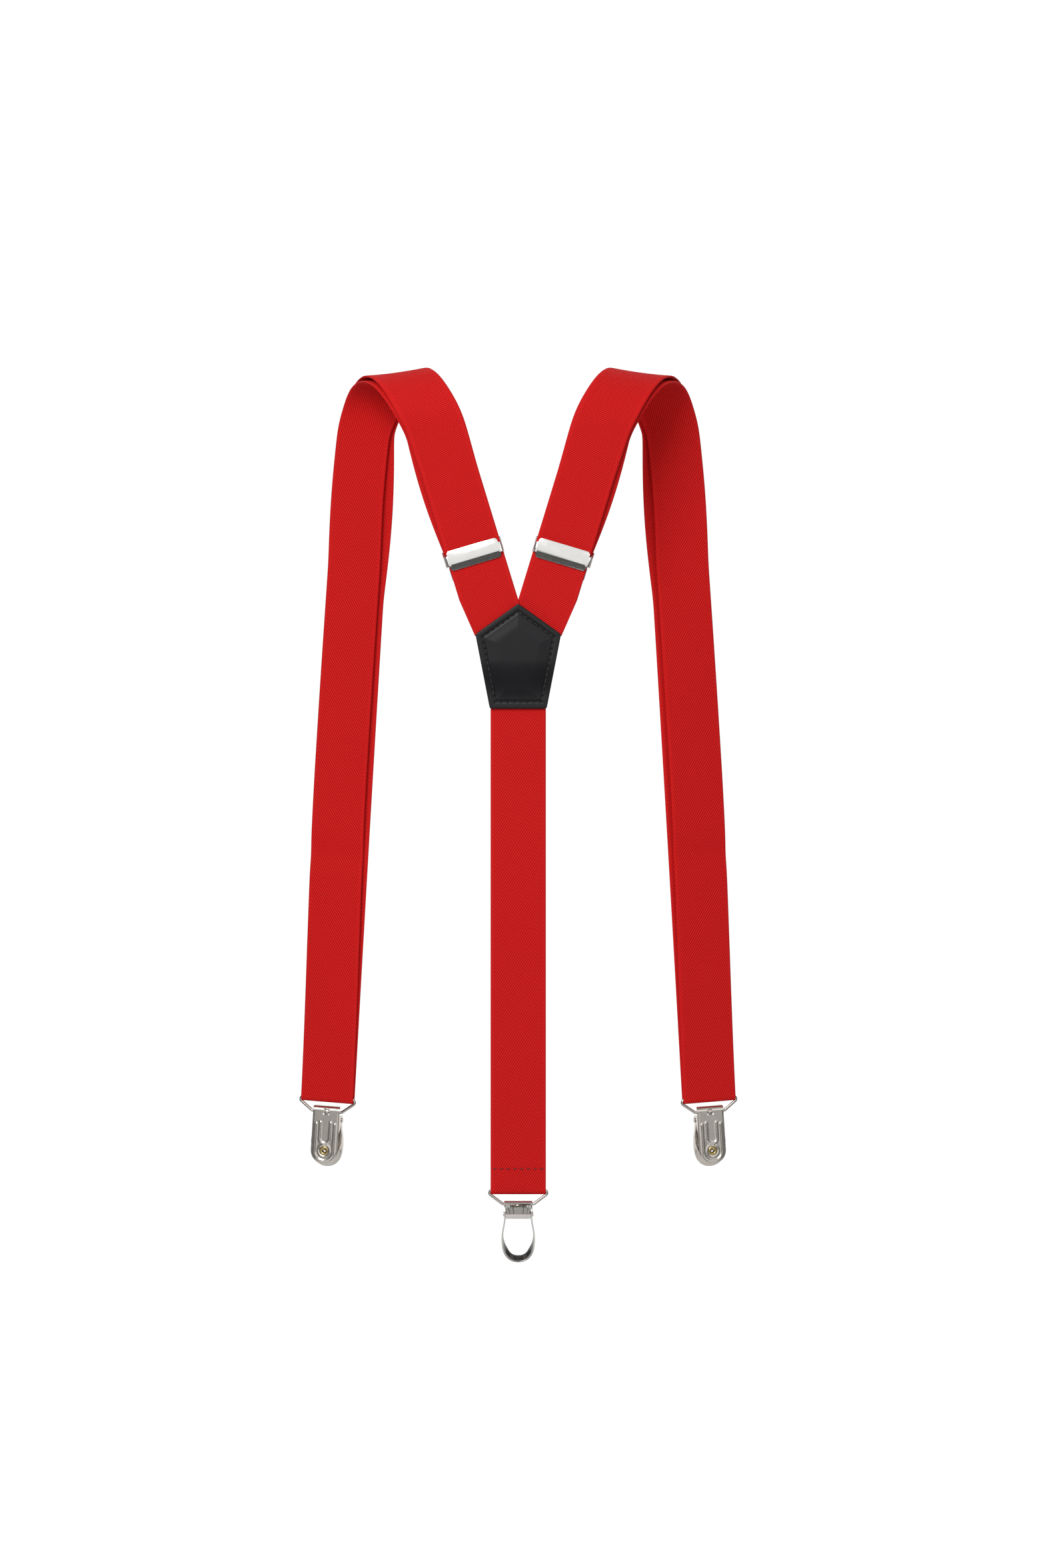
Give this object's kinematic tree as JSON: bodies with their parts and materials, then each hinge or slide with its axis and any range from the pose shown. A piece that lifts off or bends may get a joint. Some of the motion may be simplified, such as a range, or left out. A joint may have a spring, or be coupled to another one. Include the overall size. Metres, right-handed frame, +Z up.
{
  "type": "suspenders",
  "caption": "Y-back clip-on suspenders: elastic webbing straps, leather crosspatch, strap adjusters and hinged metal clips on wire rings.",
  "frame": {"origin": "midway between the two shoulder folds, at the height of their underside, where shoulders or a hanger hold the suspenders up", "axes": "+Z up along the straps, +X across the back, +Y from the wearer's back to the chest"},
  "size_m": [0.2844, 0.103, 0.5686],
  "materials": {
    "webbing": "red elastic twill webbing",
    "strap_thread": "red sewing thread",
    "leather": "smooth black leather, soft sheen",
    "patch_thread": "black sewing thread",
    "wire_nickel": "polished nickel wire",
    "satin_nickel": "fine brushed nickel",
    "bright_nickel": "bright nickel plate",
    "adjuster_nickel": "polished nickel plate",
    "rivet_brass": "plain brass eyelet",
    "pad_plastic": "translucent off-white grip plastic"
  },
  "bodies": {
    "harness": {"back_strap": "webbing", "back_strap_stitching": "strap_thread", "crosspatch": "leather", "crosspatch_backing": "leather", "crosspatch_stitching": "patch_thread", "left_shoulder_strap": "webbing", "right_shoulder_strap": "webbing", "left_return_strap": "webbing", "right_return_strap": "webbing"},
    "left_adjuster": {"left_adjuster_frame": "adjuster_nickel", "left_adjuster_bar": "adjuster_nickel", "left_adjuster_hinge_pin": "adjuster_nickel", "left_adjuster_stitching": "strap_thread", "left_return_end": "webbing"},
    "left_adjuster_flap": {"left_adjuster_lever": "adjuster_nickel"},
    "left_strap_drop": {"left_front_strap": "webbing"},
    "right_adjuster": {"right_adjuster_frame": "adjuster_nickel", "right_adjuster_bar": "adjuster_nickel", "right_adjuster_hinge_pin": "adjuster_nickel", "right_adjuster_stitching": "strap_thread", "right_return_end": "webbing"},
    "right_adjuster_flap": {"right_adjuster_lever": "adjuster_nickel"},
    "right_strap_drop": {"right_front_strap": "webbing"},
    "left_hanger": {"left_ring": "wire_nickel"},
    "left_clip": {"left_clip_plate": "satin_nickel", "left_clip_pad": "pad_plastic", "left_clip_rivet": "rivet_brass", "left_clip_pin": "satin_nickel"},
    "left_clip_loop": {"left_clip_jaw": "satin_nickel"},
    "left_clip_cover": {"left_clip_lever": "satin_nickel"},
    "right_hanger": {"right_ring": "wire_nickel"},
    "right_clip": {"right_clip_plate": "satin_nickel", "right_clip_pad": "pad_plastic", "right_clip_rivet": "rivet_brass", "right_clip_pin": "satin_nickel"},
    "right_clip_loop": {"right_clip_jaw": "satin_nickel"},
    "right_clip_cover": {"right_clip_lever": "satin_nickel"},
    "back_hanger": {"back_ring": "wire_nickel"},
    "back_clip": {"back_clip_plate": "bright_nickel", "back_clip_pad": "pad_plastic", "back_clip_rivet": "rivet_brass", "back_clip_pin": "bright_nickel"},
    "back_clip_loop": {"back_clip_jaw": "bright_nickel"},
    "back_clip_cover": {"back_clip_lever": "bright_nickel"}
  },
  "joints": [
    {"name": "left_adjuster_slide", "type": "slide", "parent": "harness", "child": "left_adjuster", "axis": [-0.2856, 0.0263, 0.958], "range_m": [-0.018, 0.04], "deforming": ["left_return_end"]},
    {"name": "left_adjuster_lever_hinge", "type": "hinge", "parent": "left_adjuster", "child": "left_adjuster_flap", "pos_m": [-0.02733, -0.03276, -0.1158], "axis": [0.9584, 0.0078, 0.2855], "range_deg": [0, 90]},
    {"name": "left_drop", "type": "slide", "parent": "harness", "child": "left_strap_drop", "axis": [-0.0619, 0.01, -0.998], "range_m": [-0.009, 0.02], "deforming": ["left_front_strap"]},
    {"name": "right_adjuster_slide", "type": "slide", "parent": "harness", "child": "right_adjuster", "axis": [0.2857, 0.0128, 0.9582], "range_m": [-0.018, 0.04], "deforming": ["right_return_end"]},
    {"name": "right_adjuster_lever_hinge", "type": "hinge", "parent": "right_adjuster", "child": "right_adjuster_flap", "pos_m": [0.02733, -0.03155, -0.11575], "axis": [0.9583, -0.0038, -0.2856], "range_deg": [0, 90]},
    {"name": "right_drop", "type": "slide", "parent": "harness", "child": "right_strap_drop", "axis": [0.0619, 0.01, -0.998], "range_m": [-0.009, 0.02], "deforming": ["right_front_strap"]},
    {"name": "left_ring_swing", "type": "hinge", "parent": "left_strap_drop", "child": "left_hanger", "pos_m": [-0.1235, 0.038, -0.462], "axis": [0.9724, -0.2248, -0.0626], "range_deg": [-50, 50]},
    {"name": "left_clip_swing", "type": "hinge", "parent": "left_hanger", "child": "left_clip", "pos_m": [-0.12403, 0.03809, -0.47058], "axis": [-0.9724, 0.2248, 0.0626], "range_deg": [-50, 95]},
    {"name": "left_lever_hinge", "type": "hinge", "parent": "left_clip", "child": "left_clip_cover", "pos_m": [-0.12315, 0.0434, -0.476], "axis": [0.9724, -0.2248, -0.0626], "range_deg": [0, 150]},
    {"name": "left_jaw_hinge", "type": "hinge", "parent": "left_clip", "child": "left_clip_loop", "pos_m": [-0.12315, 0.0434, -0.476], "axis": [0.9724, -0.2248, -0.0626], "range_deg": [0, 72]},
    {"name": "right_ring_swing", "type": "hinge", "parent": "right_strap_drop", "child": "right_hanger", "pos_m": [0.1235, 0.038, -0.462], "axis": [0.9724, 0.2248, 0.0626], "range_deg": [-50, 50]},
    {"name": "right_clip_swing", "type": "hinge", "parent": "right_hanger", "child": "right_clip", "pos_m": [0.12403, 0.03809, -0.47058], "axis": [-0.9724, -0.2248, -0.0626], "range_deg": [-50, 95]},
    {"name": "right_lever_hinge", "type": "hinge", "parent": "right_clip", "child": "right_clip_cover", "pos_m": [0.12315, 0.0434, -0.476], "axis": [0.9724, 0.2248, 0.0626], "range_deg": [0, 150]},
    {"name": "right_jaw_hinge", "type": "hinge", "parent": "right_clip", "child": "right_clip_loop", "pos_m": [0.12315, 0.0434, -0.476], "axis": [0.9724, 0.2248, 0.0626], "range_deg": [0, 72]},
    {"name": "back_ring_swing", "type": "hinge", "parent": "harness", "child": "back_hanger", "pos_m": [0, -0.03257, -0.5156], "axis": [1, 0, 0], "range_deg": [-50, 50]},
    {"name": "back_clip_swing", "type": "hinge", "parent": "back_hanger", "child": "back_clip", "pos_m": [0, -0.03257, -0.5242], "axis": [1, 0, 0], "range_deg": [-80, 23]},
    {"name": "back_lever_hinge", "type": "hinge", "parent": "back_clip", "child": "back_clip_cover", "pos_m": [0, -0.0291, -0.531], "axis": [-1, 0, 0], "range_deg": [-150, 0]},
    {"name": "back_jaw_hinge", "type": "hinge", "parent": "back_clip", "child": "back_clip_loop", "pos_m": [0, -0.0291, -0.531], "axis": [-1, 0, 0], "range_deg": [-72, 0]}
  ],
  "couplings": [
    {"joint": "left_drop", "follows": "left_adjuster_slide", "ratio": 0.5},
    {"joint": "right_drop", "follows": "right_adjuster_slide", "ratio": 0.5},
    {"joint": "left_jaw_hinge", "follows": "left_lever_hinge", "ratio": 0.48},
    {"joint": "right_jaw_hinge", "follows": "right_lever_hinge", "ratio": 0.48},
    {"joint": "back_jaw_hinge", "follows": "back_lever_hinge", "ratio": 0.48}
  ]
}
